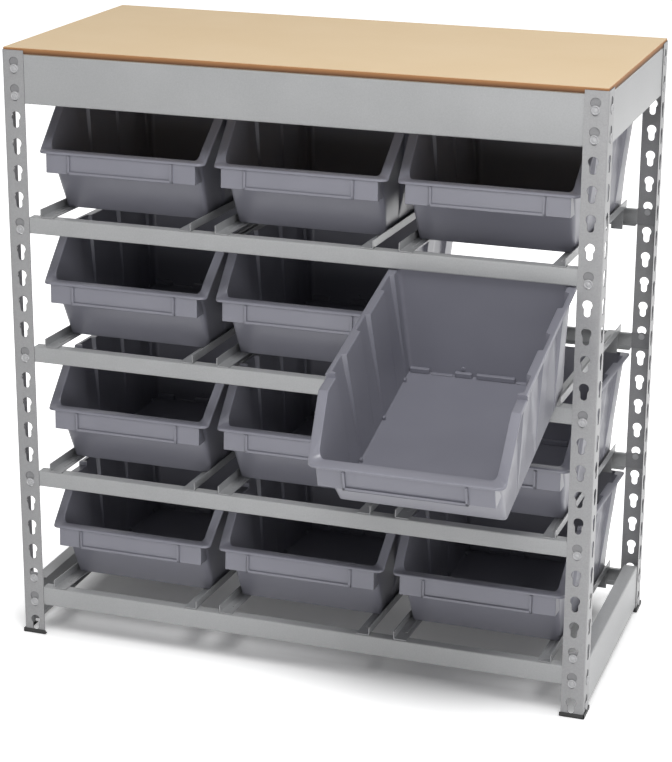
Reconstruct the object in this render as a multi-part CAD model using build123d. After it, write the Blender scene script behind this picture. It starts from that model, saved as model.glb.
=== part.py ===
from build123d import *
import math
import os

# Boltless steel rack with a wood-fibre worktop and four rows of hopper-front plastic bins.
# Millimetres. Origin on the floor under the middle of the whole outline, with the tipped bin's
# reach to the front counted in. +Z up, bins open towards -Y.

# Cutting shapes run past what they cut by this much
cut_past = 1.0

# Rack
rack_width = 850.0
rack_depth = 400.0
steel = 1.2
post_steel = 1.0
post_flange = 32.0
post_bend = 2.0
post_top = 876.5
rack_setback = 166.3

# Keyholes, counted from the top of a post and shared out evenly between the highest and the
# lowest. The round head lets a rivet in, the slot locks it.
key_margin = 16.3
key_bottom = 22.0
key_count = 23
key_inset = 17.5
key_head_radius = 6.7
key_slot_radius = 4.4
key_drop = 12.0
key_head_sides = 5
key_foot_sides = 2

# Rivets, fixed to the ends of the beams and locked down in the slots
rivet_drop = 9.3
rivet_shank = 4.0
rivet_head_radius = 6.3
rivet_head = 1.8
rivet_tail = 1.0
rivet_sides = 6

# Feet
foot_height = 9.5
foot_sole = 2.5
foot_wall = 1.75
foot_gap = 0.1

# Worktop
board = 9.0
board_gap = 0.3

# Beams: a web, a wide flange along one edge and a narrow return along the other
tall_beam = 69.0
middle_beam = 28.5
row_beam = 23.7
tall_flange = 20.0
row_flange = 15.0
beam_return = 7.0
beam_end_gap = 4.0
top_beam_rivet = 10.8
side_beam_rivet = 5.4
row_beam_rivet = 5.4
middle_beam_rivet = 4.0
middle_plate = 51.0
row_count = 4
row_step_count = 5

# Rails, a pair under each bin
rail_steel = 1.2
rail_upstand = 12.0
rail_base = 18.0
rail_front = 1.5
rail_back = 2.0
front_hook = 20.0
back_hook = 30.0
hook_gap = 0.5

# Bins, as wide as the columns and as high as the rows leave room for
columns = 3
column_margin = 30.5
bin_side_gap = 4.0
bin_seat_gap = 0.3
seated_setback = 21.0
bin_headroom = 33.0
bin_wall = 2.5
bin_side_draft = 10.0
bin_back_draft = 8.0
bin_toe = 57.0
bin_rear_gap = 16.0
lip_height = 90.5
lip_thickness = 3.0
lip_reach = 1.5
lip_narrowing = 3.7
lip_corner = 8.0
rim_gap = 5.6
rim_width = 10.2
rim_step = 6.5
rim_start = 102.0
slope_foot = 7.0
slope_angle = 42.6
front_wall_top = 10.0
band_overhang = 4.0
band_bottom = 59.5
holder_inset = 33.0
holder_rib = 3.5
holder_proud = 3.0
holder_top = 86.0
holder_ledge = 4.0
notch_shares = (0.3423, 0.6092, 0.8895)
notch_length = 38.0
notch_depth = 6.0

# The bin that is drawn out hangs tipped over the front beam of its row
drawn_row = 2
drawn_column = 3
drawn_tilt = 14.4

front = -rack_depth / 2
back = rack_depth / 2
side = rack_width / 2
web_front = front + post_steel
key_top = post_top - key_margin
key_pitch = (key_top - key_bottom) / (key_count - 1)
column_pitch = (rack_width - 2 * column_margin) / columns
rim_half = (column_pitch - rim_gap) / 2
lip_half = rim_half - lip_narrowing
bin_top_half = rim_half - rim_width
bin_bottom_half = bin_top_half - bin_side_draft
band_half = bin_bottom_half + band_overhang
holder_half = band_half - holder_inset
bin_height = row_step_count * key_pitch - bin_headroom
bin_heel = rack_depth - bin_rear_gap - seated_setback
bin_back_top = bin_heel + bin_back_draft
notch_centres = [share * bin_back_top for share in notch_shares]


def key_z(hole):
    """Height of the middle of a keyhole's round head."""
    return key_top - key_pitch * (hole - 1)


def rivet_z(hole):
    return key_z(hole) - rivet_drop


def block(low, high):
    """Box between two corners."""
    size = [b - a for a, b in zip(low, high)]
    centre = [(a + b) / 2 for a, b in zip(low, high)]
    return Pos(*centre) * Box(*size)


def prism_x(points, low, high):
    """Side-view outline of (y, z) points, extruded from x = low to x = high."""
    face = make_face(Polyline([(low, y, z) for y, z in points], close=True))
    return extrude(face, amount=high - low, dir=(1, 0, 0))


def prism_y(points, low, high):
    """Front-view outline of (x, z) points, extruded from y = low to y = high."""
    face = make_face(Polyline([(x, low, z) for x, z in points], close=True))
    return extrude(face, amount=high - low, dir=(0, 1, 0))


def arc_points(radius, start, end, sides, height):
    """Points along a round stretch, drawn with flats, about (0, height)."""
    angles = [start + (end - start) * i / sides for i in range(sides + 1)]
    return [(radius * math.cos(a), height + radius * math.sin(a)) for a in angles]


def keyhole_outline(height):
    shoulder = math.acos(key_slot_radius / key_head_radius)
    head = arc_points(key_head_radius, -shoulder, math.pi + shoulder, key_head_sides, height)
    foot = arc_points(key_slot_radius, math.pi, math.tau, key_foot_sides, height - key_drop)
    return head + foot


def angle_post():
    """Post for the front left corner: two flanges with keyholes, from foot to top."""
    reach = post_flange
    outline = [(0, 0), (reach, 0), (reach, post_steel), (post_steel, post_steel),
               (post_steel, reach), (0, reach)]
    face = make_face(Polyline([(x, y, foot_sole) for x, y in outline], close=True))
    post = extrude(face, amount=post_top - foot_sole, dir=(0, 0, 1))
    outer_edge = post.edges().filter_by(Axis.Z).sort_by_distance((0, 0, post_top / 2))[0]
    post = fillet(outer_edge, post_bend)
    holes = []
    for hole in range(1, key_count + 1):
        outline = keyhole_outline(key_z(hole))
        through_front = prism_y(outline, -cut_past, post_steel + cut_past)
        holes.append(Pos(key_inset, 0, 0) * through_front)
        holes.append(Pos(0, key_inset, 0) * Rot(0, 0, 90) * through_front)
    return post - holes


def corner_foot():
    """Cap under the front left post: a sole and two low walls outside the flanges."""
    out = foot_wall + foot_gap
    reach = post_flange + foot_wall
    sole = block((-out, -out, 0), (reach, reach, foot_sole))
    front_wall = block((-out, -out, 0), (reach, -foot_gap, foot_height))
    side_wall = block((-out, -out, 0), (-foot_gap, reach, foot_height))
    relief_low = rivet_z(key_count) - rivet_head_radius - foot_gap
    relief_half = rivet_head_radius + cut_past
    relief = block((-out - cut_past, key_inset - relief_half, relief_low),
                   (0, key_inset + relief_half, foot_height + cut_past))
    return sole + front_wall + side_wall - relief


def to_corner(shape, left, front_side):
    """Moves a piece made for the front left corner, mirrored as needed, to a corner."""
    if not left:
        shape = mirror(shape, Plane.YZ)
    if not front_side:
        shape = mirror(shape, Plane.XZ)
    return Pos(-side if left else side, front if front_side else back, 0) * shape


def beam(span, low, height, flange, plate_low, plate_high, flipped=False):
    """Beam along X with its web at y = 0, its flanges towards +Y and end plates past them."""
    clear = span / 2 - post_flange
    end = span / 2 - beam_end_gap
    if flipped:
        flange_z, return_z = low, low + height - steel
    else:
        flange_z, return_z = low + height - steel, low
    web = block((-clear, 0, low), (clear, steel, low + height))
    web += block((-clear, 0, flange_z), (clear, flange, flange_z + steel))
    web += block((-clear, 0, return_z), (clear, beam_return, return_z + steel))
    for hand in (-1, 1):
        x_low, x_high = sorted((hand * clear, hand * end))
        web += block((x_low, 0, plate_low), (x_high, steel, plate_high))
    return web


def rivet():
    """Rivet along Y: head outside the post, shank through post and web, tail inside."""
    length = post_steel + steel + rivet_tail
    head = Rot(90, 0, 0) * extrude(RegularPolygon(rivet_head_radius, rivet_sides), rivet_head)
    shank = Rot(-90, 0, 0) * extrude(RegularPolygon(rivet_shank, rivet_sides), length)
    return head + shank


def long_beam(low, height, flange, plate_low, plate_high, holes, at_front, flipped=False):
    """Beam along X between two posts, and the rivets at both its ends."""
    solid = Pos(0, web_front, 0) * beam(rack_width, low, height, flange,
                                        plate_low, plate_high, flipped)
    rivets = [Pos(hand * (side - key_inset), front, rivet_z(hole)) * rivet()
              for hand in (-1, 1) for hole in holes]
    solid = solid - rivets
    if at_front:
        return solid, rivets
    return mirror(solid, Plane.XZ), [mirror(piece, Plane.XZ) for piece in rivets]


def short_beam(low, height, flange, holes, at_left):
    """Beam along Y between two posts, and the rivets at both its ends."""
    solid = Pos(0, post_steel, 0) * beam(rack_depth, low, height, flange, low, low + height)
    rivets = [Pos(hand * (back - key_inset), 0, rivet_z(hole)) * rivet()
              for hand in (-1, 1) for hole in holes]
    place = Pos(-side, 0, 0) * Rot(0, 0, -90) if at_left else Pos(side, 0, 0) * Rot(0, 0, 90)
    return place * (solid - rivets), [place * piece for piece in rivets]


def rail(front_end, back_end, front_hook_at, back_hook_at):
    """Left rail of a pair, along its own y: upstand, base under the bin and two hooks."""
    inner = -(bin_bottom_half + bin_side_gap)
    outer = inner - rail_steel
    base_end = inner + rail_base
    solid = block((outer, front_end, 0), (inner, back_end, rail_upstand))
    solid += block((inner, front_end, 0), (base_end, back_end, rail_steel))
    for y, drop in ((front_hook_at, front_hook), (back_hook_at, back_hook)):
        solid += block((inner, y, -drop), (base_end, y + rail_steel, 0))
    return solid


def half_width(height):
    """Half the width over the side walls, which draft outwards from the floor up."""
    return bin_bottom_half + (bin_top_half - bin_bottom_half) * height / bin_height


def taper(low, high, inset, extra=0.0):
    """Front-view outline of a drafted bin, narrowed by a wall and widened at the top."""
    wide = half_width(high) - inset + extra * high / bin_height
    narrow = half_width(low) - inset + extra * low / bin_height
    return [(-narrow, low), (narrow, low), (wide, high), (-wide, high)]


def hopper_bin():
    """Bin with its floor underside at z = 0 and the face of its front band at y = 0."""
    above = bin_height + cut_past
    rise = math.tan(math.radians(slope_angle))
    step_height = bin_height - rim_step
    slope_top = slope_foot + (step_height - lip_height) / rise
    lean = (bin_toe - front_wall_top) / lip_height
    wall_y = bin_wall * math.hypot(1, lean)
    back_lean = (bin_back_top - bin_heel) / bin_height

    shell_side = [(bin_toe, 0), (bin_heel, 0), (bin_back_top, bin_height),
                  (rim_start, bin_height), (rim_start, step_height), (slope_top, step_height),
                  (slope_foot + lip_thickness, lip_height + lip_thickness * rise),
                  (front_wall_top, lip_height)]
    body = prism_x(shell_side, -rim_half, rim_half) & prism_y(
        taper(0, bin_height, 0), 0, bin_back_top)

    # Rim: front lip, sloping side lips, a step up and the level top rim, in one strip
    under = lip_thickness
    strip = [(-lip_reach, lip_height), (slope_foot, lip_height), (slope_top, step_height),
             (rim_start, step_height), (rim_start, bin_height), (bin_back_top, bin_height),
             (bin_back_top - back_lean * under, bin_height - under),
             (rim_start + under, bin_height - under), (rim_start + under, step_height - under),
             (slope_top + under / 2, step_height - under),
             (slope_foot + under / 2, lip_height - under), (-lip_reach, lip_height - under)]
    flare = [(-lip_half, 0), (lip_half, 0), (lip_half, lip_height), (rim_half, step_height),
             (rim_half, above), (-rim_half, above), (-rim_half, step_height),
             (-lip_half, lip_height)]
    rim = prism_x(strip, -rim_half, rim_half) & prism_y(flare, -lip_reach, bin_back_top)
    for hand in (-1, 1):
        corner = [(hand * lip_half, -lip_reach), (hand * (lip_half - lip_corner), -lip_reach),
                  (hand * (lip_half - lip_corner / 3), -lip_reach + lip_corner / 3),
                  (hand * lip_half, -lip_reach + lip_corner)]
        face = make_face(Polyline([(x, y, 0) for x, y in corner], close=True))
        rim -= extrude(face, amount=lip_height + cut_past, dir=(0, 0, 1))

    # Front band, hanging from the lip, with closed ends that run back to the body
    band_top = lip_height - under
    band_back = front_wall_top + lean * (lip_height - band_bottom)
    band = block((-band_half, 0, band_bottom), (band_half, bin_wall, band_top))
    end_plate = [(0, band_bottom), (band_back, band_bottom),
                 (front_wall_top + lean * under, band_top), (0, band_top)]
    for hand in (-1, 1):
        low, high = sorted((hand * band_half, hand * (band_half - bin_wall)))
        band += prism_x(end_plate, low, high)
        low, high = sorted((hand * holder_half, hand * (holder_half - holder_rib)))
        band += block((low, -holder_proud, band_bottom), (high, 0, holder_top))
    band += block((-holder_half, -holder_proud, band_bottom),
                  (holder_half, 0, band_bottom + holder_ledge))

    # Stacking notches: the side walls step outwards below each gap in the rim
    solid = body + rim + band
    for centre in notch_centres:
        low, high = centre - notch_length / 2, centre + notch_length / 2
        outside = taper(0, bin_height - under, 0, notch_depth)
        solid += prism_y(outside, low - bin_wall, high + bin_wall)

    hollow_side = [(bin_toe + wall_y - lean * bin_wall, bin_wall),
                   (bin_heel - bin_wall + back_lean * bin_wall, bin_wall),
                   (bin_back_top - bin_wall + back_lean * (above - bin_height), above),
                   (-lip_reach - cut_past, above), (-lip_reach - cut_past, lip_height),
                   (front_wall_top + wall_y, lip_height)]
    solid -= prism_x(hollow_side, -rim_half, rim_half) & prism_y(
        taper(bin_wall, above, bin_wall), -lip_reach - cut_past, bin_back_top + cut_past)
    for centre in notch_centres:
        inside = taper(bin_wall, above, bin_wall, notch_depth)
        solid -= prism_y(inside, centre - notch_length / 2, centre + notch_length / 2)
    return solid


nodes = {}
all_rivets = []

# Posts and feet
for left in (True, False):
    for front_side in (True, False):
        corner = ("front" if front_side else "back") + "_" + ("left" if left else "right")
        nodes["post_" + corner] = to_corner(angle_post(), left, front_side)
        nodes["foot_" + corner] = to_corner(corner_foot(), left, front_side)

# Top beams carry the worktop, which drops between the post tops
top_low = rivet_z(2) - top_beam_rivet
board_low = top_low + tall_beam
for name, at_front in (("front", True), ("back", False)):
    solid, rivets = long_beam(top_low, tall_beam, tall_flange, top_low, board_low, (1, 2), at_front)
    nodes["beam_top_" + name] = solid
    all_rivets += rivets
for name, at_left in (("left", True), ("right", False)):
    solid, rivets = short_beam(top_low, tall_beam, tall_flange, (1, 2), at_left)
    nodes["beam_top_" + name] = solid
    all_rivets += rivets
board_inset = post_steel + board_gap
nodes["worktop"] = block((-side + board_inset, front + board_inset, board_low),
                         (side - board_inset, back - board_inset, board_low + board))

# Row beams: the front ones stand flange up, the back ones are turned over and sit lower
front_tops = []
back_tops = []
bottom_hole = key_count - 1
for row in range(1, row_count):
    hole = bottom_hole - row_step_count * (row_count - row)
    low = rivet_z(hole) - row_beam_rivet
    solid, rivets = long_beam(low, row_beam, row_flange, low, low + row_beam, (hole,), True)
    nodes[f"beam_row{row}_front"] = solid
    all_rivets += rivets
    front_tops.append(low + row_beam)
    back_low = rivet_z(hole) + row_beam_rivet - row_beam
    solid, rivets = long_beam(back_low, row_beam, row_flange, back_low, back_low + row_beam,
                              (hole,), False, flipped=True)
    nodes[f"beam_row{row}_back"] = solid
    all_rivets += rivets
    back_tops.append(back_low + row_beam)

# Bottom beams
low = rivet_z(bottom_hole) - middle_beam_rivet
solid, rivets = long_beam(low, middle_beam, row_flange, low, low + middle_plate,
                          (bottom_hole - 1, bottom_hole), True)
nodes["beam_bottom_front"] = solid
all_rivets += rivets
front_tops.append(low + middle_beam)
back_low = rivet_z(bottom_hole) + row_beam_rivet - row_beam
solid, rivets = long_beam(back_low, row_beam, row_flange, back_low, back_low + row_beam,
                          (bottom_hole,), False, flipped=True)
nodes["beam_bottom_back"] = solid
all_rivets += rivets
back_tops.append(back_low + row_beam)
side_low = rivet_z(key_count) - side_beam_rivet
for name, at_left in (("left", True), ("right", False)):
    solid, rivets = short_beam(side_low, tall_beam, tall_flange, (bottom_hole, key_count), at_left)
    nodes["beam_bottom_" + name] = solid
    all_rivets += rivets

# Rails and bins
seat_y = web_front + row_flange
rail_start = web_front + rail_front
rail_end = -web_front - rail_back
back_hook_y = -web_front - row_flange - hook_gap - rail_steel
full_bin = hopper_bin()
tilt = math.radians(drawn_tilt)
for row, (front_top, back_top) in enumerate(zip(front_tops, back_tops), 1):
    fall = math.degrees(math.atan2(front_top - back_top, rail_end - seat_y))
    stretch = 1 / math.cos(math.radians(fall))
    left_rail = rail((rail_start - seat_y) * stretch, (rail_end - seat_y) * stretch, hook_gap,
                     (back_hook_y - seat_y) * stretch)
    for column in range(1, columns + 1):
        x = (column - (columns + 1) / 2) * column_pitch
        seat = Pos(x, seat_y, front_top) * Rot(-fall, 0, 0)
        nodes[f"rail_r{row}_c{column}_left"] = seat * left_rail
        nodes[f"rail_r{row}_c{column}_right"] = seat * mirror(left_rail, Plane.YZ)
        if (row, column) == (drawn_row, drawn_column):
            # Its heel lies behind the rails' front edge by as much as brings the top of its
            # back wall up under the beam above
            edge = seat * Pos(0, (rail_start - seat_y) * stretch, rail_steel + bin_seat_gap)
            above_z = front_tops[row - 2] - row_beam - bin_seat_gap
            rise = above_z - edge.position.Z
            reach_in = (rise - bin_height * math.cos(tilt)) / math.sin(tilt)
            edge_on_bin = bin_back_top - reach_in
            place = Pos(edge.position) * Rot(drawn_tilt, 0, 0) * Pos(0, -edge_on_bin, 0)
        else:
            setback = seated_setback - (seat_y - front)
            place = seat * Pos(0, setback, rail_steel + bin_seat_gap)
        nodes[f"bin_r{row}_c{column}"] = place * full_bin

nodes["rivets"] = Compound(children=all_rivets)

# All the above is laid out about the middle of the rack's footprint
os.makedirs("parts", exist_ok=True)
for name, shape in nodes.items():
    export_step(Pos(0, rack_setback, 0) * shape, f"parts/{name}.step")
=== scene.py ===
import math
import bmesh
import bpy
import numpy as np
from mathutils import Matrix


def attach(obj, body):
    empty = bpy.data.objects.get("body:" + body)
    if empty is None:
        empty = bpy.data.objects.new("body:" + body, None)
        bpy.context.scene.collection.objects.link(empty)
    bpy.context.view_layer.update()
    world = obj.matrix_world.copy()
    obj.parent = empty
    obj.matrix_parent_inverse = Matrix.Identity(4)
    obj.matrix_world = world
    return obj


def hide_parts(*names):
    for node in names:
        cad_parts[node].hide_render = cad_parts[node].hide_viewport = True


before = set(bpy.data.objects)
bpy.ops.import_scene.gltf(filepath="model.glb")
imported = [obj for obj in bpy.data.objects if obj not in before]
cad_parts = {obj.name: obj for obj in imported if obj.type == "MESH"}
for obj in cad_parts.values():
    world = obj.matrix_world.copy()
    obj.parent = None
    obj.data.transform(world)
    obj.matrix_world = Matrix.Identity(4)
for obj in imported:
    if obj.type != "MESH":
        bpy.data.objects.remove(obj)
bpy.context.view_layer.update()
print("frame loaded:", len(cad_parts), "solids")

mm = 0.001
# The rack is laid out in millimetres about the middle of its footprint, which lies this far
# behind the frame's origin
rackMiddle = np.array([0.0, 166.3, 0.0])
rack = {"width": 850.0, "depth": 400.0, "postTop": 876.5, "postBottom": 2.5,
        "keyTop": 860.2, "keyPitch": 38.1, "keyCount": 23, "keyInset": 17.5, "rivetDrop": 9.3}
side, front, back = rack["width"] / 2, -rack["depth"] / 2, rack["depth"] / 2
# Seams closer than weld and edges shorter than sliver (metres) close up, edges bent by more
# than sharp (degrees) stay crisp, and a bevel takes up to bevelShare of a block's thinnest side
meshing = {"weld": 2e-6, "sliver": 1e-6, "sharp": 35.0, "bevelShare": 0.45}
square = ((0, 0), (1, 0), (1, 1), (0, 1))


def keyHeight(hole):
    return rack["keyTop"] - rack["keyPitch"] * (hole - 1)


def rivetHeight(hole):
    return keyHeight(hole) - rack["rivetDrop"]


def gridFaces(rows, columns, closedColumns=False):
    # Quads between neighbouring points of a rows x columns grid, numbered row by row
    start = np.arange(rows - 1)[:, None] * columns
    j = np.arange(columns if closedColumns else columns - 1)[None, :]
    beside = (j + 1) % columns
    below = start + columns
    quads = np.stack([start + j, start + beside, below + beside, below + j], -1)
    return quads.reshape(-1, 4).tolist()


def sweep(outline, path):
    # A closed outline carried along a straight path and capped by itself at both ends.
    # path(outline, end) gives its points in space at end 0 and at end 1
    outline = np.asarray(outline, float)
    count = len(outline)
    points = np.concatenate([path(outline, 0), path(outline, 1)])
    faces = gridFaces(2, count, closedColumns=True)
    faces += [list(range(count)), list(range(2 * count - 1, count - 1, -1))]
    return points, faces


def softBlock(low, high, edge):
    # A box whose eight corners are each three points, one on every face that meets there, so
    # that its edges are small bevels
    low, high = np.asarray(low, float), np.asarray(high, float)
    edge = min(edge, meshing["bevelShare"] * float((high - low).min()))
    points, index = [], {}
    for corner in np.ndindex(2, 2, 2):
        sign = np.array(corner) * 2 - 1
        place = np.where(np.array(corner) == 1, high, low)
        for axis in range(3):
            inward = -sign * edge
            inward[axis] = 0
            index[corner, axis] = len(points)
            points.append(place + inward)
    faces = []
    for axis in range(3):
        u, v = [a for a in range(3) if a != axis]
        for end in (0, 1):
            ring = []
            for p, q in square:
                corner = [0, 0, 0]
                corner[axis], corner[u], corner[v] = end, p, q
                ring.append(index[tuple(corner), axis])
            faces.append(ring)
        for p, q in square:
            a, b = [0, 0, 0], [0, 0, 0]
            a[u], a[v], b[u], b[v], b[axis] = p, q, p, q, 1
            a, b = tuple(a), tuple(b)
            faces.append([index[a, u], index[b, u], index[b, v], index[a, v]])
    faces += [[index[c, 0], index[c, 1], index[c, 2]] for c in np.ndindex(2, 2, 2)]
    return np.array(points), faces


def placed(shape, turn=None, shift=(0, 0, 0)):
    points, faces = shape
    if turn is not None:
        points = points @ np.asarray(turn).T
    return points + np.asarray(shift, float), faces


def flipped(shape, axis):
    points, faces = shape
    points = points.copy()
    points[:, axis] *= -1
    return points, faces


def turnX(degrees):
    c, s = math.cos(math.radians(degrees)), math.sin(math.radians(degrees))
    return np.array([[1, 0, 0], [0, c, -s], [0, s, c]])


def addPiece(name, shapes, material, nodes, body, sharp=meshing["sharp"], second=None):
    # Joins the shapes into one mesh, closes their seams, turns their faces outwards and lets the
    # new object stand for the CAD nodes
    points, faces, start = [], [], 0
    for p, f in shapes:
        points.append(p)
        faces += [[i + start for i in face] for face in f]
        start += len(p)
    points = (np.concatenate(points) + rackMiddle) * mm
    mesh = bpy.data.meshes.new(name)
    mesh.from_pydata(points.tolist(), [], faces)
    work = bmesh.new()
    work.from_mesh(mesh)
    bmesh.ops.remove_doubles(work, verts=work.verts, dist=meshing["weld"])
    bmesh.ops.dissolve_degenerate(work, edges=work.edges, dist=meshing["sliver"])
    bmesh.ops.recalc_face_normals(work, faces=work.faces)
    work.to_mesh(mesh)
    work.free()
    mesh.shade_smooth()
    mesh.set_sharp_from_angle(angle=math.radians(sharp))
    mesh.materials.append(material)
    if second:
        # A second, darker coat of painted shade on the faces whose middles the given test picks
        other, isThere = second
        mesh.materials.append(other)
        middles = np.zeros(3 * len(mesh.polygons))
        mesh.polygons.foreach_get("center", middles)
        chosen = isThere(middles.reshape(-1, 3) / mm - rackMiddle)
        mesh.polygons.foreach_set("material_index", chosen.astype(np.int32))
    piece = bpy.data.objects.new(name, mesh)
    bpy.context.scene.collection.objects.link(piece)
    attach(piece, body)
    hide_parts(*nodes)


def linear(hexColour):
    # sRGB hex to linear RGBA
    c = np.array([int(hexColour[i:i + 2], 16) for i in (0, 2, 4)]) / 255
    c = np.where(c <= 0.04045, c / 12.92, ((c + 0.055) / 1.055) ** 2.4)
    return (*c.tolist(), 1.0)


def addNode(tree, kind, settings=None, links=None):
    # Settings are the node's own properties or its sockets' values; links name the node and the
    # output that feed each socket
    node = tree.nodes.new(kind)
    for key, value in (settings or {}).items():
        if isinstance(key, str) and hasattr(node, key):
            setattr(node, key, value)
        else:
            node.inputs[key].default_value = value
    for key, (other, output) in (links or {}).items():
        tree.links.new(other.outputs[output], node.inputs[key])
    return node


mixLow, mixHigh, mixResult = 6, 7, 2     # a Mix node's colour sockets share names with others


def emptyMaterial(name):
    material = bpy.data.materials.new(name)
    material.use_nodes = True
    material.node_tree.nodes.clear()
    return material, material.node_tree


def finish(tree, settings, links):
    shader = addNode(tree, "ShaderNodeBsdfPrincipled", settings, links)
    addNode(tree, "ShaderNodeOutputMaterial", {}, {"Surface": (shader, "BSDF")})


def noise(tree, size, detail, roughness=0.5):
    # Noise in object coordinates, with features about size mm across
    place = addNode(tree, "ShaderNodeTexCoord")
    return addNode(tree, "ShaderNodeTexNoise",
                   {"Scale": 1 / (size * mm), "Detail": detail, "Roughness": roughness},
                   {"Vector": (place, "Object")})


def shared(tree, first, share, second):
    # share of the first noise and the rest of the second
    rest = addNode(tree, "ShaderNodeMath", {"operation": "MULTIPLY", 1: 1 - share},
                   {0: (second, "Fac")})
    return addNode(tree, "ShaderNodeMath", {"operation": "MULTIPLY_ADD", 1: share},
                   {0: (first, "Fac"), 2: (rest, 0)})


def blend(tree, factor, low, high):
    return addNode(tree, "ShaderNodeMix", {"data_type": "RGBA", mixLow: low, mixHigh: high},
                   {"Factor": (factor, 0)})


def ranged(tree, source, low, high):
    # A value from 0 to 1 stretched to run from low to high
    return addNode(tree, "ShaderNodeMapRange", {"To Min": low, "To Max": high},
                   {"Value": (source, 0)})


def relief(tree, texture, strength, depth):
    return addNode(tree, "ShaderNodeBump", {"Strength": strength, "Distance": depth * mm},
                   {"Height": (texture, "Fac")})


def powderCoat(name, pale, dark, gloss):
    # Powder-coated sheet steel: a satin grey skin with orange peel and a fine speckle. Both are
    # about 1 mm in life and drawn at 1.6 and 2.2 mm so that they show; slow mottling breaks up
    # the long flat faces
    material, tree = emptyMaterial(name)
    mottle = noise(tree, size=70, detail=3.0)
    speckle = noise(tree, size=2.2, detail=2.0, roughness=0.7)
    peel = noise(tree, size=1.6, detail=1.5)
    colour = blend(tree, shared(tree, mottle, 0.4, speckle), linear(dark), linear(pale))
    bump = relief(tree, peel, strength=0.12, depth=0.05)
    rough = ranged(tree, mottle, gloss - 0.06, gloss + 0.08)
    finish(tree, {"Metallic": 0.0, "IOR": 1.5},
           {"Base Color": (colour, mixResult), "Roughness": (rough, 0), "Normal": (bump, 0)})
    return material


def mouldedPlastic(name, pale, dark, gloss, grain):
    # Injection-moulded plastic: even and slightly waxy, with the fine spark-eroded grain of the
    # mould and broad flow marks where the melt ran
    material, tree = emptyMaterial(name)
    flow = noise(tree, size=60, detail=1.0)
    texture = noise(tree, size=grain, detail=2.0)
    colour = blend(tree, flow, linear(dark), linear(pale))
    bump = relief(tree, texture, strength=0.12, depth=0.02)
    rough = ranged(tree, flow, gloss - 0.02, gloss + 0.03)
    finish(tree, {"IOR": 1.49},
           {"Base Color": (colour, mixResult), "Roughness": (rough, 0), "Normal": (bump, 0)})
    return material


def fibreboard(name, face, faceDark, edge, edgeShaded, darkUpTo, paleFrom):
    # Bare medium-density fibreboard: a pale sanded face with fine fibres, and a darker, open sawn
    # edge. Painted shade deepens on the edge towards its underside and stands in for the shadow line
    # over the beam that the board rests on. Object-space normals tell the face and the edge apart
    material, tree = emptyMaterial(name)
    place = addNode(tree, "ShaderNodeTexCoord")
    cloudy = noise(tree, size=120, detail=4.0)
    fibre = noise(tree, size=1.4, detail=4.0, roughness=0.7)
    sanded = blend(tree, shared(tree, cloudy, 0.5, fibre), linear(faceDark), linear(face))
    facing = addNode(tree, "ShaderNodeSeparateXYZ", {}, {"Vector": (place, "Normal")})
    upright = addNode(tree, "ShaderNodeMath", {"operation": "ABSOLUTE"}, {0: (facing, "Z")})
    isEdge = addNode(tree, "ShaderNodeMapRange", {"From Min": 0.9, "From Max": 0.4},
                     {"Value": (upright, 0)})
    point = addNode(tree, "ShaderNodeSeparateXYZ", {}, {"Vector": (place, "Object")})
    # Painted shade on the sawn edge, deepest at the underside where the board meets the beam
    undersideShade = addNode(tree, "ShaderNodeMapRange",
                     {"From Min": darkUpTo * mm, "From Max": paleFrom * mm},
                     {"Value": (point, "Z")})
    sawn = blend(tree, undersideShade, linear(edgeShaded), linear(edge))
    colour = addNode(tree, "ShaderNodeMix", {"data_type": "RGBA"},
                     {"Factor": (isEdge, 0), mixLow: (sanded, mixResult),
                      mixHigh: (sawn, mixResult)})
    bump = relief(tree, fibre, strength=0.2, depth=0.05)
    finish(tree, {"Roughness": 0.72, "IOR": 1.45},
           {"Base Color": (colour, mixResult), "Normal": (bump, 0)})
    return material


postCoat = powderCoat("postPowderCoat", "AFAFB0", "878789", 0.36)
# Painted shade: a darker coat for the posts' keyhole walls and cut edges, standing in for the shade
# inside the holes
cutEdgeShadeCoat = powderCoat("postCutEdgePaintedShade", "6A6A6C", "565658", 0.5)
beamCoat = powderCoat("beamPowderCoat", "B6B7B8", "959697", 0.34)
# Painted shade: a darker coat for the beams' end plates, standing in for the shade they lie in
# behind the posts' keyholes
plateShadeCoat = powderCoat("beamEndPlateCoat", "949496", "78787A", 0.45)
railCoat = powderCoat("railPowderCoat", "A9AAAB", "87888A", 0.30)
rivetCoat = powderCoat("rivetPowderCoat", "BCBCBE", "A8A8AA", 0.26)
footPlastic = mouldedPlastic("footPolyethylene", "2C2C2C", "202020", 0.5, 1.2)
binPlastic = mouldedPlastic("binPolypropylene", "868690", "7F7F89", 0.31, 0.8)
print("materials made")

# drop is from the middle of a keyhole's round head to the middle of its round foot
post = {"flange": 32.0, "steel": 1.0, "bend": 2.0, "bendSteps": 5, "headRadius": 6.7,
        "slotRadius": 4.4, "drop": 12.0, "chamfer": 0.3, "sideSteps": 8, "endSteps": 8,
        "headPoints": 240, "footPoints": 120, "slotPoints": 38, "cutMargin": 0.1, "sharp": 40.0}


def keyholeRadius(angles):
    # How far the keyhole's edge lies from its middle in each direction: the round head, the
    # straight slot and its round foot are one closed line, looked up by angle
    head, foot, drop = post["headRadius"], post["slotRadius"], post["drop"]
    middle = (head - drop - foot) / 2
    shoulder = math.acos(foot / head)
    over = np.linspace(-shoulder, math.pi + shoulder, post["headPoints"])
    under = np.linspace(math.pi, 2 * math.pi, post["footPoints"])
    slot = np.linspace(-math.sin(shoulder) * head, -drop, post["slotPoints"] + 2)[1:-1]
    slotX = np.full(len(slot), foot)
    x = np.concatenate([head * np.cos(over), -slotX, foot * np.cos(under), slotX])
    z = np.concatenate([head * np.sin(over), slot, foot * np.sin(under) - drop, slot[::-1]])
    z = z - middle
    line = np.arctan2(z, x)
    order = np.argsort(line)
    return np.interp(angles, line[order], np.hypot(x, z)[order], period=2 * math.pi), middle


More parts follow.
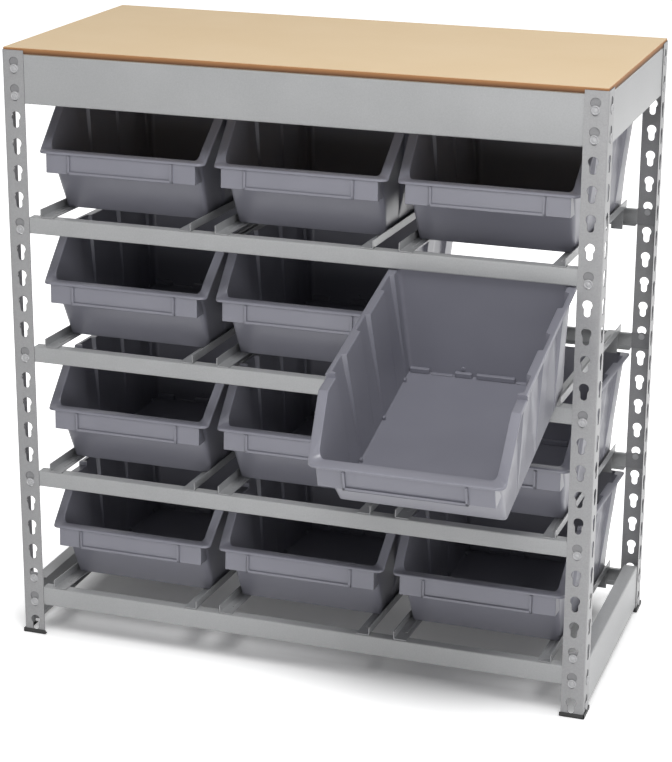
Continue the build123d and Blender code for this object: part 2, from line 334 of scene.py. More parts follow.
def postFlange():
    # One flange in the xz plane, outside at y = 0: a strip of cells, each a ring of quads from
    # the cell's border to a keyhole's edge, over the edge and back to the border behind
    m, n = post["sideSteps"], post["endSteps"]
    around = 2 * (m + n)
    low, high = post["bend"] - rack["keyInset"], post["flange"] - rack["keyInset"]
    half = rack["keyPitch"] / 2
    up = np.linspace(-half, half, m + 1)[:-1]
    borderX = np.concatenate([np.full(m, high), np.linspace(high, low, n + 1)[:-1],
                              np.full(m, low), np.linspace(low, high, n + 1)[:-1]])
    borderZ = np.concatenate([up, np.full(n, half), -up, np.full(n, -half)])
    angles = np.arctan2(borderZ, borderX)
    radius, middle = keyholeRadius(angles)
    hole = np.stack([radius * np.cos(angles), radius * np.sin(angles)], -1)
    wide = hole * ((radius + post["chamfer"]) / radius)[:, None]
    border = np.stack([borderX, borderZ], -1)
    rings = np.stack([border, wide, hole, hole, border])
    depth = np.array([0, 0, post["chamfer"], post["steel"], post["steel"]])
    centres = keyHeight(np.arange(1, rack["keyCount"] + 1)) + middle
    cells = np.zeros((rack["keyCount"], len(rings), around, 3))
    cells[..., 0] = rings[None, ..., 0] + rack["keyInset"]
    cells[..., 1] = depth[None, :, None]
    cells[..., 2] = rings[None, ..., 1] + centres[:, None, None]
    # The top cell is drawn out to the post's top, and the lowest one ends at its bottom
    cells[0][..., 2][rings[..., 1] >= half] = rack["postTop"]
    cells[-1][..., 2] = np.maximum(cells[-1][..., 2], rack["postBottom"])
    ringFaces = gridFaces(len(rings), around, closedColumns=True)
    shapes = [(cell.reshape(-1, 3), ringFaces) for cell in cells]
    # The flange's free edge, then its top and bottom ends
    shapes += [(cell[[0, -1], :m + 1].reshape(-1, 3), gridFaces(2, m + 1)) for cell in cells]
    for cell, start in ((cells[0], m), (cells[-1], 2 * m + n)):
        index = (np.arange(n + 1) + start) % around
        shapes.append((cell[[0, -1]][:, index].reshape(-1, 3), gridFaces(2, n + 1)))
    rows = cells[:, 0, m + n:2 * m + n + 1, 2]     # heights of the points where the bend joins on
    return shapes, rows


def anglePost():
    # Two flanges and the bend between them, whose quarter circles run down the same rows
    flange, rows = postFlange()
    turned = [(points[:, [1, 0, 2]], faces) for points, faces in flange]
    z = np.concatenate([[rows[0, 0]], rows[:, 1:].ravel()])
    steps, outer, inner = post["bendSteps"], post["bend"], post["bend"] - post["steel"]
    a = np.linspace(-math.pi / 2, -math.pi, steps + 1)
    ring = np.stack([np.cos(a), np.sin(a)], -1)
    outline = post["bend"] + np.concatenate([outer * ring, inner * ring[::-1]])
    count = len(outline)
    bend = np.zeros((len(z), count, 3))
    bend[..., :2] = outline
    bend[..., 2] = z[:, None]
    # The bend's sides stay open, as the flanges carry on there, and its two ends are closed
    faces = [f for f in gridFaces(len(z), count) if f[0] % count != steps]
    for row in (0, (len(z) - 1) * count):
        faces += [[row + i, row + i + 1, row + count - 2 - i, row + count - 1 - i]
                  for i in range(steps)]
    return flange + turned + [(bend.reshape(-1, 3), faces)]


def toCorner(shapes, atLeft, atFront):
    # Shapes drawn for the front left corner, mirrored and moved to any of the four
    moved = []
    for shape in shapes:
        shape = shape if atLeft else flipped(shape, 0)
        shape = shape if atFront else flipped(shape, 1)
        moved.append(placed(shape, shift=(-side if atLeft else side, front if atFront else back, 0)))
    return moved


def isCutEdge(at):
    # Within the sheet's thickness on one flange and clear of the bend: keyhole walls and edges,
    # which get the darker coat of painted shade
    x, y = side - np.abs(at[:, 0]), back - np.abs(at[:, 1])
    low, high, bend = post["cutMargin"], post["steel"] - post["cutMargin"], post["bend"]
    return ((x > low) & (x < high) & (y > bend)) | ((y > low) & (y < high) & (x > bend))


corners = {"front_left": (True, True), "back_left": (True, False),
           "front_right": (False, True), "back_right": (False, False)}
angle = anglePost()
for corner, (atLeft, atFront) in corners.items():
    addPiece("post." + corner, toCorner(angle, atLeft, atFront), postCoat,
             ["post_" + corner], "rack", post["sharp"], (cutEdgeShadeCoat, isCutEdge))
print("posts made")

# Caps pushed on under the posts
foot = {"out": 1.85, "reach": 33.75, "gap": 0.1, "sole": 2.5, "height": 6.2, "inner": 4.2,
        "edge": 0.7, "wallFrom": 1.0, "wallEdge": 0.3}


def footShapes():
    # An L of sole under the two flanges, and a low wall outside each
    out, reach, gap, inner = -foot["out"], foot["reach"], -foot["gap"], foot["inner"]
    sole, low, high = foot["sole"], foot["wallFrom"], foot["height"]
    return [softBlock((out, out, 0), (reach, inner, sole), foot["edge"]),
            softBlock((out, out, 0), (inner, reach, sole), foot["edge"]),
            softBlock((out, out, low), (reach, gap, high), foot["wallEdge"]),
            softBlock((out, out, low), (gap, reach, high), foot["wallEdge"])]


for corner, (atLeft, atFront) in corners.items():
    addPiece("foot." + corner, toCorner(footShapes(), atLeft, atFront), footPlastic,
             ["foot_" + corner], "rack")
print("feet made")

beam = {"steel": 1.2, "bend": 2.2, "bendSteps": 4, "return": 7.0, "endGap": 4.0,
        "plateEdge": 0.35, "plateGap": 0.02, "plateLap": 0.5}
# rivet is how far a beam's lowest rivet lies above its lower edge, and plate is how tall the
# plates at its ends are
topBeam = {"height": 69.0, "flange": 20.0, "plate": 69.0, "rivet": 10.8, "holes": (1, 2)}
rowBeam = {"height": 23.7, "flange": 15.0, "plate": 23.7, "rivet": 5.4}
bottomBeam = {"height": 28.5, "flange": 15.0, "plate": 51.0, "rivet": 4.0}
sideBeam = {"height": 69.0, "flange": 20.0, "plate": 69.0, "rivet": 5.4, "holes": (22, 23)}
levels = {"row1": (rowBeam, (7,)), "row2": (rowBeam, (12,)), "row3": (rowBeam, (17,)),
          "bottom": (bottomBeam, (21, 22))}
webFront = front + post["steel"]


def beamLow(kind, hole, turnedOver=False):
    return rivetHeight(hole) - (kind["height"] - kind["rivet"] if turnedOver else kind["rivet"])


def channel(height, flange):
    # Outline of a beam in (depth, height): down the outside from the wide flange's tip, round
    # two bends to the narrow return's tip, and back along the inside at one thickness
    t, r, tip = beam["steel"], beam["bend"], beam["return"]
    turn = np.linspace(0, math.pi / 2, beam["bendSteps"] + 1)

    def bend(radius, middleZ, up):
        return np.stack([r - radius * np.sin(turn), middleZ + up * radius * np.cos(turn)], -1)
    outside = np.concatenate([[[flange, height]], bend(r, height - r, 1), bend(r, r, -1)[::-1],
                              [[tip, 0]]])
    inside = np.concatenate([[[tip, t]], bend(r - t, r, -1), bend(r - t, height - r, 1)[::-1],
                             [[flange, height - t]]])
    return np.concatenate([outside, inside])


def beamShapes(span, kind, low, turnedOver=False):
    # The channel carried along x between the posts, and a flat plate behind each post's flange
    outline = channel(kind["height"], kind["flange"])
    if turnedOver:
        outline[:, 1] = kind["height"] - outline[:, 1]
    clear, end = span / 2 - post["flange"], span / 2 - beam["endGap"]

    def along(points, last):
        x = np.full(len(points), clear if last else -clear)
        return np.stack([x, points[:, 0], points[:, 1] + low], -1)
    shapes = [sweep(outline, along)]
    for hand in (-1, 1):
        a, b = sorted((hand * (clear - beam["plateLap"]), hand * end))
        shapes.append(softBlock((a, beam["plateGap"], low),
                                (b, beam["steel"], low + kind["plate"]), beam["plateEdge"]))
    return shapes


def addBeam(node, shapes, axis, plateFrom):
    # The end plates behind the posts' flanges take a darker coat of painted shade
    addPiece(node.replace("_", "."), shapes, beamCoat, [node], "rack",
             second=(plateShadeCoat, lambda at: np.abs(at[:, axis]) > plateFrom))


def longBeam(node, hand, *numbers):
    # A beam along the front (hand -1) or the back (hand 1)
    shapes = [placed(s, shift=(0, webFront, 0)) for s in beamShapes(rack["width"], *numbers)]
    if hand > 0:
        shapes = [flipped(s, 1) for s in shapes]
    addBeam(node, shapes, 0, side - post["flange"])


def shortBeam(node, hand, *numbers):
    # A beam along the left end (hand -1) or the right one (hand 1)
    turn = np.array([[0, -hand, 0], [hand, 0, 0], [0, 0, 1]])
    shapes = [placed(placed(s, shift=(0, post["steel"], 0)), turn, (side * hand, 0, 0))
              for s in beamShapes(rack["depth"], *numbers)]
    addBeam(node, shapes, 1, back - post["flange"])


rivetPlaces = []     # the face and its hand, then x on a long face or y on an end, and the height


def rivetPair(face, hand, holes):
    reach = (side if face == "long" else back) - rack["keyInset"]
    rivetPlaces.extend((face, hand, s * reach, rivetHeight(h)) for s in (-1, 1) for h in holes)


for where, hand in (("front", -1), ("back", 1)):
    longBeam("beam_top_" + where, hand, topBeam, beamLow(topBeam, topBeam["holes"][-1]))
    rivetPair("long", hand, topBeam["holes"])
for where, hand in (("left", -1), ("right", 1)):
    for level, kind in (("top", topBeam), ("bottom", sideBeam)):
        shortBeam(f"beam_{level}_{where}", hand, kind, beamLow(kind, kind["holes"][-1]))
        rivetPair("end", hand, kind["holes"])
frontTops, backTops = [], []     # heights of the flanges that the rails hang on, row by row
for level, (kind, holes) in levels.items():
    low = beamLow(kind, holes[-1])
    longBeam(f"beam_{level}_front", -1, kind, low)
    frontTops.append(low + kind["height"])
    rivetPair("long", -1, holes)
    low = beamLow(rowBeam, holes[-1], turnedOver=True)
    longBeam(f"beam_{level}_back", 1, rowBeam, low, True)
    backTops.append(low + rowBeam["height"])
    rivetPair("long", 1, holes[-1:])
print("beams made")

# Low buttons: (radius, height out of the face) down one side, head first
rivet = {"outline": [(0, 1.45), (2.9, 1.4), (3.6, 0.95), (4.3, 1.3), (5.2, 1.8), (5.8, 1.5),
                     (6.2, 0.8), (6.3, 0.0), (3.9, 0.0), (3.9, -2.2), (4.6, -2.2), (4.3, -3.0),
                     (0, -3.2)], "sides": 28, "sharp": 50.0}


def turnedButton():
    outline = np.array(rivet["outline"])
    a = np.linspace(0, 2 * math.pi, rivet["sides"], endpoint=False)
    radius, out = outline[:, :1], outline[:, 1:]
    points = np.stack([radius * np.cos(a), -out + 0 * a, radius * np.sin(a)], -1)
    return points.reshape(-1, 3), gridFaces(len(outline), rivet["sides"], closedColumns=True)


button = turnedButton()
shapes = []
for face, hand, along, height in rivetPlaces:
    points, faces = button if hand < 0 else flipped(button, 1)
    if face == "end":
        shapes.append(placed((points[:, [1, 0, 2]], faces), shift=(hand * side, along, height)))
    else:
        shapes.append(placed((points, faces), shift=(along, hand * back, height)))
addPiece("rivets.all", shapes, rivetCoat, ["rivets"], "rack", rivet["sharp"])
print("rivets made")

# The sawn edge's painted shade is deepest up to darkFoot above the underside and gone from paleTop
# below the top
board = {"inset": 1.3, "thick": 9.0, "edge": 0.6, "darkFoot": 1.2, "paleTop": 1.5}
boardLow = beamLow(topBeam, topBeam["holes"][-1]) + topBeam["height"]
boardHigh = boardLow + board["thick"]
boardFinish = fibreboard("sawnFibreboard", "F0D9B7", "E2C69C", "AE7C50", "50331F",
                         boardLow + board["darkFoot"], boardHigh - board["paleTop"])
slab = softBlock((-side + board["inset"], front + board["inset"], boardLow),
                 (side - board["inset"], back - board["inset"], boardHigh), board["edge"])
addPiece("worktop.board", [slab], boardFinish, ["worktop"], "rack")
print("worktop made")

# inner is the upstand's face towards the bin, from the column's middle; ridge is the two sides
# of the pressed ridge along the base, from inner
rail = {"steel": 1.2, "upstand": 12.0, "base": 18.0, "inner": -112.5, "bend": 1.8, "bendSteps": 3,
        "start": 1.5, "stop": 2.0, "frontHook": 20.0, "backHook": 30.0, "hookGap": 0.5,
        "hookInset": 0.6, "hookEdge": 0.35, "ridge": (8.5, 12.5), "ridgeStart": 26.0,
        "ridgeTall": 0.9, "ridgeEdge": 0.6, "sink": 0.3, "columnPitch": 263.0}
seatY = webFront + rowBeam["flange"]
railStart, railEnd = webFront + rail["start"], -webFront - rail["stop"]
backHookY = -webFront - rowBeam["flange"] - rail["hookGap"] - rail["steel"]


def railShapes(stretch):
    # An L carried along y: upstand, a bend, and the base under the bin; two hooks hang from it
    t, r, inner, sink = rail["steel"], rail["bend"], rail["inner"], rail["sink"]
    a = np.linspace(math.pi, 1.5 * math.pi, rail["bendSteps"] + 1)
    ring, middle = np.stack([np.cos(a), np.sin(a)], -1), np.array([inner - t + r, r])
    baseX = inner + rail["base"]
    outline = np.concatenate([[[inner - t, rail["upstand"]]], middle + r * ring,
                              [[baseX, 0]], [[baseX, t]],
                              (middle + (r - t) * ring)[::-1], [[inner, rail["upstand"]]]])
    ends = [(railStart - seatY) * stretch, (railEnd - seatY) * stretch]

    def along(points, last):
        return np.stack([points[:, 0], np.full(len(points), ends[last]), points[:, 1]], -1)
    shapes = [sweep(outline, along)]
    low, high = rail["ridge"]
    shapes.append(softBlock((inner + low, ends[0] + rail["ridgeStart"], t - sink),
                            (inner + high, ends[1] - rail["ridgeStart"], t + rail["ridgeTall"]),
                            rail["ridgeEdge"]))
    for y, drop in ((rail["hookGap"], rail["frontHook"]),
                    ((backHookY - seatY) * stretch, rail["backHook"])):
        shapes.append(softBlock((inner + rail["hookInset"], y, -drop), (baseX, y + t, sink),
                                rail["hookEdge"]))
    return shapes


seats = {}     # where each bin's rails meet the front beam, their fall to the back and their stretch
for number, (frontTop, backTop) in enumerate(zip(frontTops, backTops), 1):
    fall = math.degrees(math.atan2(frontTop - backTop, railEnd - seatY))
    stretch = 1 / math.cos(math.radians(fall))
    for column in (1, 2, 3):
        spot = np.array([(column - 2) * rail["columnPitch"], seatY, frontTop])
        seats[number, column] = (spot, fall, stretch)
        for hand in ("left", "right"):
            shapes = railShapes(stretch)
            if hand == "right":
                shapes = [flipped(s, 0) for s in shapes]
            shapes = [placed(s, turnX(-fall), spot) for s in shapes]
            node = f"rail_r{number}_c{column}_{hand}"
            addPiece(node.replace("_", "."), shapes, railCoat, [node], "rack")
print("rails made")

# A bin's own y runs from the front of its label band (0) to its back. Rounds are a loop's corner
# radii at the rear and the front, and the foot's pairs are (inset, height) round the floor's edge
hopper = {"height": 157.5, "wall": 2.5, "bottomHalf": 108.5, "topHalf": 118.5, "toe": 57.0,
          "heel": 363.0, "backTop": 371.0, "frontTop": 10.0, "lipHeight": 90.5, "lipHalf": 125.0,
          "lipReach": 1.5, "slopeFoot": 7.0, "slope": 42.6, "slopeEase": 10.0,
          "rimHalf": 128.7, "rimStep": 6.5, "rimStart": 102.0, "rim": 4.0, "rimSeam": 0.6,
          "round": 2.2, "roundShares": ((0.12, 0.5), (0.5, 0.12)), "innerRound": 0.8,
          "notches": (127.0, 226.0, 330.0), "notchLength": 38.0, "notchDepth": 6.0,
          "notchEnd": 2.5, "floorRounds": (7.5, 5.5), "topRounds": (8.5, 9.0),
          "rimRounds": (3.0, 11.0), "roundShrink": 0.8, "outerFoot": ((2.2, 0.0), (0.7, 0.25)),
          "outerFootTop": 1.6, "innerFootTops": (3.0, 1.0),
          "innerFoot": ((1.2, 0.15), (3.0, 0.0)), "spineInset": 100.0, "sharp": 32.0}
# How finely the bin is drawn: points on a loop's flats and corners, and the side's stations
stations = {"flat": 5, "corner": 6, "behind": 8.0, "stepHalf": 0.05, "between": 90.0,
            "slope": 8, "wallFront": 6.0, "rimFront": 6.5}
lean = (hopper["toe"] - hopper["frontTop"]) / hopper["lipHeight"]
levelHeight = hopper["height"] - hopper["rimStep"]
rise = math.tan(math.radians(hopper["slope"]))
slopeTop = hopper["slopeFoot"] + (levelHeight - hopper["lipHeight"]) / rise


def planLoop(half, rear, frontY, rearRound, frontRound, sideY):
    # Half of an outline seen from above, from the middle of the rear wall round two rounded
    # corners to the middle of the front. sideY holds the stations along the side
    flat = stations["flat"]
    a = np.linspace(0, math.pi / 2, stations["corner"] + 2)[1:-1]
    y = np.clip(sideY, frontY + frontRound, rear - rearRound)
    x = np.concatenate([np.linspace(0, half - rearRound, flat),
                        half - rearRound + rearRound * np.sin(a), np.full(len(y), half),
                        half - frontRound + frontRound * np.cos(a),
                        np.linspace(half - frontRound, 0, flat)])
    y = np.concatenate([np.full(flat, rear), rear - rearRound + rearRound * np.cos(a), y,
                        frontY + frontRound - frontRound * np.sin(a), np.full(flat, frontY)])
    return x, y


def rimHeight(y, eased):
    # Height of the rim's top along the side: level, a step down, level, then the sloping lip,
    # which the wall's own top eases into
    climb = rise * np.maximum(0, y - hopper["slopeFoot"])
    if eased:
        climb = climb * np.clip((y - hopper["frontTop"]) / hopper["slopeEase"], 0, 1)
    return np.where(y > hopper["rimStart"], hopper["height"],
                    np.minimum(hopper["lipHeight"] + climb, levelHeight))


def sideStations():
    # Stations from back to front, and how deep the notch is at each. They lie close together
    # where the wall or rim changes: at each notch's ends and at the rim's step
    y = [hopper["backTop"] - stations["behind"], hopper["rimStart"] + stations["stepHalf"],
         hopper["rimStart"] - stations["stepHalf"], slopeTop, stations["between"]]
    notch = [0.0] * len(y)
    for centre in hopper["notches"]:
        # Along a notch, as shares of half its length and of its depth
        for reach, depth in ((1, 0), (1, 1), (0.5, 1), (0, 1), (-0.5, 1), (-1, 1), (-1, 0)):
            end = hopper["notchEnd"] * (1 - depth) * np.sign(reach)
            y.append(centre + reach * hopper["notchLength"] / 2 + end)
            notch.append(hopper["notchDepth"] * depth)
    frontmost = hopper["frontTop"] + stations["wallFront"]
    y.extend(np.linspace(slopeTop, frontmost, stations["slope"] + 1)[1:])
    notch.extend([0.0] * stations["slope"])
    order = np.argsort(-np.array(y), kind="stable")
    return np.array(y)[order], np.array(notch)[order]


def binShell():
    # A closed wall section carried round the bin. Walls are ruled from the floor's outline to
    # the rim's, so they stay flat and draft outwards; they swell out at each notch, by less and
    # less down to the floor
    b = hopper
    sideY, notch = sideStations()
    floorY = np.interp(sideY, [b["frontTop"], b["rimStart"], b["backTop"]],
                       [b["toe"], b["rimStart"], b["heel"]])
    outerY = np.interp(sideY, [b["frontTop"] + stations["wallFront"], slopeTop, b["backTop"]],
                       [stations["rimFront"], slopeTop, b["backTop"]])
    padding = np.zeros(stations["flat"] + stations["corner"])
    swell = np.concatenate([padding, notch, padding])
    slant = math.hypot(1, lean)     # the front wall leans, so it is this much thicker along y

    def insetLoop(half, rear, frontY, rounds, sideAt, inset):
        rearRound, frontRound = [r - b["roundShrink"] * inset for r in rounds]
        return planLoop(half - inset, rear - inset, frontY + inset * slant, rearRound, frontRound,
                        sideAt)

    def floorLoop(inset):
        return insetLoop(b["bottomHalf"], b["heel"], b["toe"], b["floorRounds"], floorY, inset)

    def topLoop(inset):
        x, y = insetLoop(b["topHalf"], b["backTop"], b["frontTop"], b["topRounds"], sideY, inset)
        height = rimHeight(y, True)
        draft = (b["bottomHalf"] + (b["topHalf"] - b["bottomHalf"]) * height / b["height"]
                 - inset) / (b["topHalf"] - inset)
        return np.stack([x * draft + swell * height / b["height"], y, height], -1)

    def rimAt(inset, drop):
        rearRound, frontRound = b["rimRounds"]
        x, y = planLoop(b["rimHalf"] - inset, b["backTop"] - inset, -b["lipReach"] + inset,
                        rearRound, frontRound - inset, outerY)
        height = rimHeight(y, False)
        low = (levelHeight - np.clip(height, None, levelHeight)) / (levelHeight - b["lipHeight"])
        x = x * (1 - low * (b["rimHalf"] - b["lipHalf"]) / b["rimHalf"])
        return np.stack([x, y, height - drop], -1)

    def inFloor(inset, z):
        x, y = floorLoop(inset)
        return np.stack([x, y, z + 0 * x], -1)

    def wallAt(inset, z):
        # From the floor's outline towards the top's, as far as the height z
        bottom, top = inFloor(inset, 0.0), topLoop(inset)
        share = z / top[:, 2]
        wall = bottom + (top - bottom) * share[:, None]
        wall[:, 2] = z
        return wall

    def spine(z):
        x, y = floorLoop(0)
        y = np.clip(y, b["toe"] + b["spineInset"], b["heel"] - b["spineInset"])
        return np.stack([0 * x, y, z + 0 * x], -1)
    r, w, rim, seam = b["round"], b["wall"], b["rim"], b["rimSeam"]
    outerTop, innerTop = topLoop(0)[:, 2], topLoop(w)
    section = [spine(0), *[inFloor(inset, z) for inset, z in b["outerFoot"]],
               wallAt(0, b["outerFootTop"]), wallAt(0, outerTop / 2), wallAt(0, outerTop - rim),
               rimAt(seam, rim), rimAt(0, rim - seam), rimAt(0, r),
               *[rimAt(r * inwards, r * down) for inwards, down in b["roundShares"]],
               rimAt(r, 0), topLoop(w - b["innerRound"]), innerTop - [0, 0, b["innerRound"]],
               wallAt(w, innerTop[:, 2] / 2), *[wallAt(w, w + z) for z in b["innerFootTops"]],
               *[inFloor(w + inset, w + z) for inset, z in b["innerFoot"]], spine(w)]
    half = np.stack(section)
    other = half[:, ::-1][:, 1:-1] * [-1, 1, 1]
    grid = np.concatenate([half, other], 1)
    return grid.reshape(-1, 3), gridFaces(grid.shape[0], grid.shape[1], closedColumns=True)


# What stands on the shell. Bars are (left, right, height) at the foot of the rear wall, and
# nibs are places along the floor's two sides
trim = {"bandHalf": 112.5, "bandLow": 59.5, "bandLap": 0.6, "bandEdge": 0.6, "plateLap": 0.15,
        "plateFront": 0.6, "plateLow": 0.2, "plateUnder": 3.0,
        "holderHalf": 79.5, "holderTop": 86.0, "holderProud": 3.0, "holderWall": 1.4,
        "holderSlot": 1.6, "holderRib": 4.0, "holderLedge": 4.2, "holderSink": 0.5,
        "holderDrop": 0.2, "holderEdge": 0.4,
        "bars": ((-105, -77, 8), (-75, -44, 1.8), (-41, -17, 8), (-11, 43, 8), (44, 59, 1.8),
                 (77, 105, 8)),
        "barDepth": 4.6, "barSink": 1.0, "floorSink": 0.3, "barEdge": 1.2,
        "nibs": (70.0, 138.0, 238.0, 333.0), "nibHalf": 3.0, "nibTall": 5.5, "nibSink": 0.8,
        "nibReach": 3.4}
gate = {"at": (-30.0, 15.0), "radius": 3.0, "tip": 0.7, "proud": 1.6, "sink": 1.4, "sides": 12}


def gusset(outline, low, high):
    # A flat plate in the yz plane, from x = low to x = high
    def across(points, last):
        return np.stack([np.full(len(points), high if last else low), points[:, 0],
                         points[:, 1]], -1)
    return sweep(outline, across)


def holderShapes():
    # The band under the lip with a gusset at each end, and on it the label holder: a low wall on
    # three sides with a lip in front of it that leaves a slot
    top = hopper["lipHeight"] - hopper["rim"] + trim["bandLap"]
    low = trim["bandLow"]
    shapes = [softBlock((-trim["bandHalf"], 0, low), (trim["bandHalf"], hopper["wall"], top),
                        trim["bandEdge"])]
    wallY = hopper["frontTop"] + lean * (hopper["lipHeight"] - low)
    plate = [(trim["plateFront"], low + trim["plateLow"]), (wallY, low + trim["plateLow"]),
             (hopper["frontTop"] + lean * trim["plateUnder"], top), (trim["plateFront"], top)]
    proud, slot = -trim["holderProud"], -trim["holderSlot"]
    for hand in (-1, 1):
        a, b = sorted((hand * (trim["bandHalf"] - trim["plateLap"]),
                       hand * (trim["bandHalf"] - hopper["wall"])))
        shapes.append(gusset(plate, a, b))
        for reach, y in ((trim["holderWall"], trim["holderSink"]), (trim["holderRib"], slot)):
            a, b = sorted((hand * trim["holderHalf"], hand * (trim["holderHalf"] - reach)))
            shapes.append(softBlock((a, proud, low), (b, y, trim["holderTop"]),
                                    trim["holderEdge"]))
    for reach, y in ((trim["holderWall"], trim["holderSink"]), (trim["holderLedge"], slot)):
        shapes.append(softBlock((-trim["holderHalf"], proud, low - trim["holderDrop"]),
                                (trim["holderHalf"], y, low + reach), trim["holderEdge"]))
    return shapes


def gateStub(rearY):
    # The moulding's gate: a small round stub low on the rear wall, narrower at its free end
    a = np.linspace(0, 2 * math.pi, gate["sides"], endpoint=False)
    ring = gate["radius"] * np.stack([np.cos(a), np.sin(a)], -1)

    def along(points, last):
        points = points * (1 if last else gate["tip"]) + gate["at"]
        y = np.full(len(points), rearY + (gate["sink"] if last else -gate["proud"]))
        return np.stack([points[:, 0], y, points[:, 1]], -1)
    return sweep(ring, along)


def insideShapes():
    # The bars and the gate's stub on the rear wall, and the nibs along the floor
    floorTop, rearY = hopper["wall"], hopper["heel"] - hopper["wall"]
    sideX, low = hopper["bottomHalf"] - hopper["wall"], floorTop - trim["floorSink"]
    shapes = [softBlock((a, rearY - trim["barDepth"], low),
                        (b, rearY + trim["barSink"], floorTop + tall), trim["barEdge"])
              for a, b, tall in trim["bars"]]
    shapes.append(gateStub(rearY))
    for hand in (-1, 1):
        a, b = sorted((hand * (sideX + trim["nibSink"]), hand * (sideX - trim["nibReach"])))
        shapes += [softBlock((a, y - trim["nibHalf"], low),
                             (b, y + trim["nibHalf"], floorTop + trim["nibTall"]),
                             trim["barEdge"]) for y in trim["nibs"]]
    return shapes


# How the bins lie: seatGap above their rails, and the drawn one tipped by tilt degrees
resting = {"seatGap": 1.5, "setback": 5.0, "drawn": (2, 3), "tilt": 14.4, "drawnGap": 0.3}
oneBin = [binShell(), *holderShapes(), *insideShapes()]
for (number, column), (spot, fall, stretch) in seats.items():
    if (number, column) == resting["drawn"]:
        # Tipped over the front edge of its rails, with the top of its rear wall under the beam
        start = np.array([0, (railStart - seatY) * stretch, resting["seatGap"]])
        edge = spot + start @ turnX(-fall).T
        above = frontTops[number - 2] - rowBeam["height"] - resting["drawnGap"]
        tilt = math.radians(resting["tilt"])
        reachIn = (above - edge[2] - hopper["height"] * math.cos(tilt)) / math.sin(tilt)
        turn = turnX(resting["tilt"])
        shift = edge + np.array([0, reachIn - hopper["backTop"], 0]) @ turn.T
    else:
        turn = turnX(-fall)
        shift = spot + np.array([0, resting["setback"], resting["seatGap"]]) @ turn.T
    node = f"bin_r{number}_c{column}"
    addPiece(node.replace("_", "."), [placed(s, turn, shift) for s in oneBin], binPlastic,
             [node], node, hopper["sharp"])
print("bins made")

# footprint is half the patch of shade under the rack, a little inside its posts, in metres. The
# floor's glow whitens it to the eye like a backdrop. It rises from floorLift on the patch to full
# over glowReach and hides the shade cast beyond the patch, so the rendered shade shows only on the
# patch, and the patch's edge is painted
stage = {"floorHalf": 12.0, "floorZ": -0.0005, "floorColour": "F4F4F4", "floorLift": 0.05,
         "footprint": (0.39, 0.143, 0.0), "glowReach": 0.14, "worldLight": 0.22}


def seenDirectly(tree):
    # 1 for what the camera or a glossy reflection sees, and 0 for light that falls on things
    path = addNode(tree, "ShaderNodeLightPath")
    return addNode(tree, "ShaderNodeMath", {"operation": "MAXIMUM"},
                   {0: (path, "Is Camera Ray"), 1: (path, "Is Glossy Ray")})


h, z = stage["floorHalf"], stage["floorZ"]
floorMesh = bpy.data.meshes.new("floor")
floorMesh.from_pydata([(-h, -h, z), (h, -h, z), (h, h, z), (-h, h, z)], [], [(0, 1, 2, 3)])
floor = bpy.data.objects.new("floor", floorMesh)
bpy.context.scene.collection.objects.link(floor)
# A matt paper sweep, white to the eye but for the shade under the rack
paper, tree = emptyMaterial("whitePaperSweep")
matt = addNode(tree, "ShaderNodeBsdfDiffuse", {"Color": linear(stage["floorColour"])})
# How far a point lies outside the footprint: the length of what is left of its distance from
# the rack's middle, along x and y, past the footprint's edge
far, output = addNode(tree, "ShaderNodeTexCoord"), "Object"
for operation, value in (("SUBTRACT", tuple(rackMiddle * mm)), ("ABSOLUTE", (0, 0, 0)),
                         ("SUBTRACT", stage["footprint"]), ("MAXIMUM", (0, 0, 0)),
                         ("LENGTH", (0, 0, 0))):
    far = addNode(tree, "ShaderNodeVectorMath", {"operation": operation, 1: value},
                  {0: (far, output)})
    output = "Vector"
fade = addNode(tree, "ShaderNodeMapRange",
               {"From Max": stage["glowReach"], "To Min": stage["floorLift"], "To Max": 1.0},
               {"Value": (far, "Value")})
lift = addNode(tree, "ShaderNodeMath", {"operation": "MULTIPLY"},
               {0: (seenDirectly(tree), 0), 1: (fade, 0)})
glow = addNode(tree, "ShaderNodeEmission", {}, {"Strength": (lift, 0)})
both = addNode(tree, "ShaderNodeAddShader", {}, {0: (matt, 0), 1: (glow, 0)})
addNode(tree, "ShaderNodeOutputMaterial", {}, {"Surface": (both, 0)})
floorMesh.materials.append(paper)

world = bpy.data.worlds.new("studio")
bpy.context.scene.world = world
world.use_nodes = True
tree = world.node_tree
tree.nodes.clear()
level = ranged(tree, seenDirectly(tree), stage["worldLight"], 1.0)
sky = addNode(tree, "ShaderNodeBackground", {"Color": (1, 1, 1, 1)}, {"Strength": (level, 0)})
addNode(tree, "ShaderNodeOutputWorld", {}, {"Surface": (sky, 0)})

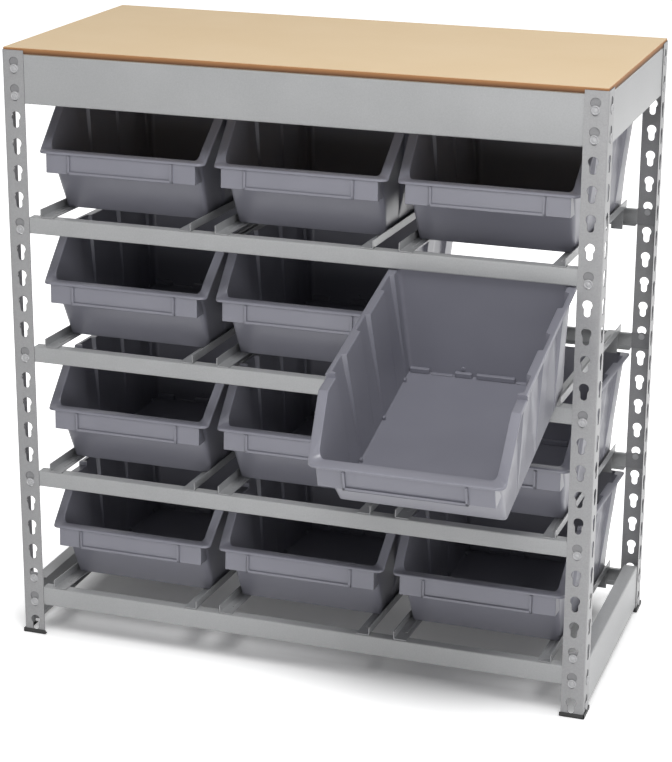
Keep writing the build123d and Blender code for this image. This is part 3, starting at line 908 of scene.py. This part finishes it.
lights = {"rightWindow": {"at": (3.6, -0.6, 0.8), "aim": (0, 0.1, 0.3), "size": 2.0, "power": 28},
          "backBox": {"at": (1.9, 2.9, 2.3), "aim": (0.1, 0.1, 0.3), "size": 2.0, "power": 34},
          "frontBox": {"at": (0.8, -1.6, 3.5), "aim": (0, -0.2, 0.4), "size": 1.4, "power": 68},
          "lowFill": {"at": (0.3, -3.0, 0.4), "aim": (0, 0, 0.25), "size": 1.4, "power": 25}}


def setAxes(thing, right, up, behind, at):
    # Lamps and cameras look down their own -Z
    matrix = np.eye(4)
    matrix[:3] = np.stack([right, up, behind, at], -1)
    thing.matrix_world = Matrix(matrix.tolist())
    bpy.context.scene.collection.objects.link(thing)


for name, lamp in lights.items():
    data = bpy.data.lights.new(name, "AREA")
    data.shape, data.size, data.energy = "SQUARE", lamp["size"], lamp["power"]
    behind = np.array(lamp["at"], float) - np.array(lamp["aim"], float)
    behind /= np.linalg.norm(behind)
    across = np.cross([0, 0, 1], behind)
    across /= np.linalg.norm(across)
    setAxes(bpy.data.objects.new(name, data), across, np.cross(behind, across), behind, lamp["at"])

# Fitted to points on the photo; place is in millimetres from the rack's middle
camera = {"place": (962.66, -2843.74, 1399.79), "right": (0.94869, 0.31611, 0.00743),
          "down": (0.10040, -0.27886, -0.95507), "ahead": (-0.29983, 0.90681, -0.29629),
          "focalPixels": 2158.06, "middle": (354.0, 323.1), "frame": (672, 762), "sensor": 36.0,
          "clip": (0.05, 60.0)}
lens = bpy.data.cameras.new("photo")
longSide = max(camera["frame"])
lens.sensor_fit, lens.sensor_width = "AUTO", camera["sensor"]
lens.lens = camera["focalPixels"] * camera["sensor"] / longSide
lens.shift_x = (camera["frame"][0] / 2 - camera["middle"][0]) / longSide
lens.shift_y = (camera["middle"][1] - camera["frame"][1] / 2) / longSide
lens.clip_start, lens.clip_end = camera["clip"]
eye = bpy.data.objects.new("photo", lens)
setAxes(eye, camera["right"], -np.array(camera["down"]), -np.array(camera["ahead"]),
        (np.array(camera["place"]) + rackMiddle) * mm)
bpy.context.scene.camera = eye
bpy.context.scene.view_settings.view_transform = "Standard"
print("stage set")
